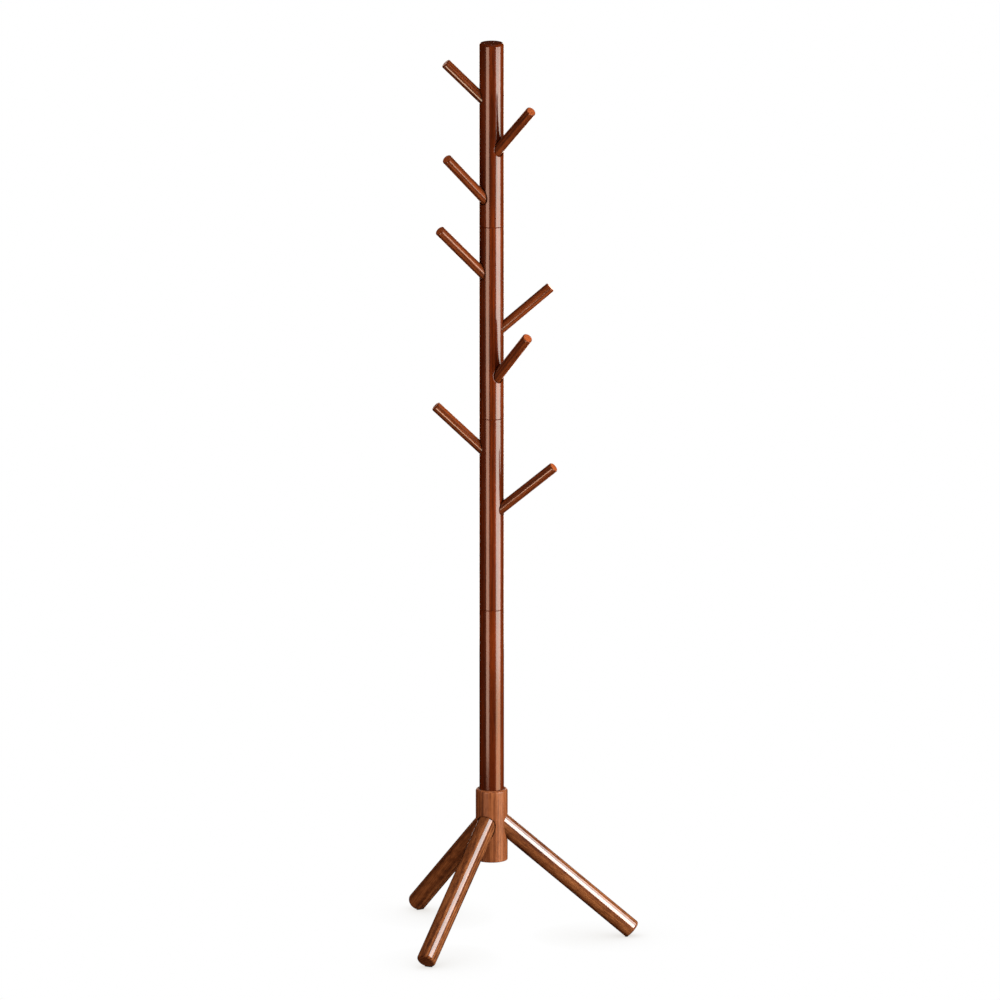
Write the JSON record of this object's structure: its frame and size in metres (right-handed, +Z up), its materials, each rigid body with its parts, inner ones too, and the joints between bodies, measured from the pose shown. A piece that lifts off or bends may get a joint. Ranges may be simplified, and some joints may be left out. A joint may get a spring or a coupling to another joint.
{
  "type": "coat rack",
  "caption": "Standing wooden coat rack: a sectioned round post with upward-angled dowel hooks, held in a turned hub on splayed round legs.",
  "frame": {"origin": "middle of the feet's bounding box on the floor; the post's axis stands 65.0 mm to the -X side of it", "axes": "+Z up along the post; +X along the first leg's heading; the footprint is symmetric about the XZ plane"},
  "size_m": [0.431, 0.492, 1.75],
  "materials": {
    "post_wood": "walnut stain under gloss lacquer",
    "hook_wood": "walnut stain under gloss lacquer",
    "leg_wood": "walnut stain under gloss lacquer",
    "hub_wood": "walnut stain under satin lacquer",
    "stud_steel": "zinc plated",
    "insert_brass": "turned",
    "pad_rubber": "matt"
  },
  "bodies": {
    "root": {"post_top": "post_wood", "post_upper": "post_wood", "post_lower": "post_wood", "post_bottom": "post_wood", "hub": "hub_wood", "foot_pad_1": "pad_rubber", "foot_pad_2": "pad_rubber", "foot_pad_3": "pad_rubber", "hook_1": "hook_wood", "hook_2": "hook_wood", "hook_3": "hook_wood", "hook_4": "hook_wood", "hook_5": "hook_wood", "hook_6": "hook_wood", "hook_7": "hook_wood", "hook_8": "hook_wood", "hook_insert_1": "insert_brass", "hook_insert_2": "insert_brass", "hook_insert_3": "insert_brass", "hook_insert_4": "insert_brass", "hook_insert_5": "insert_brass", "hook_insert_6": "insert_brass", "hook_insert_7": "insert_brass", "hook_insert_8": "insert_brass", "hook_stud_1": "stud_steel", "hook_stud_2": "stud_steel", "hook_stud_3": "stud_steel", "hook_stud_4": "stud_steel", "hook_stud_5": "stud_steel", "hook_stud_6": "stud_steel", "hook_stud_7": "stud_steel", "hook_stud_8": "stud_steel", "joint_insert_1": "insert_brass", "joint_insert_2": "insert_brass", "joint_insert_3": "insert_brass", "joint_insert_4": "insert_brass", "joint_stud_1": "stud_steel", "joint_stud_2": "stud_steel", "joint_stud_3": "stud_steel", "joint_stud_4": "stud_steel", "leg_1": "leg_wood", "leg_2": "leg_wood", "leg_3": "leg_wood", "leg_insert_1": "insert_brass", "leg_insert_2": "insert_brass", "leg_insert_3": "insert_brass", "leg_stud_1": "stud_steel", "leg_stud_2": "stud_steel", "leg_stud_3": "stud_steel"}
  },
  "joints": []
}
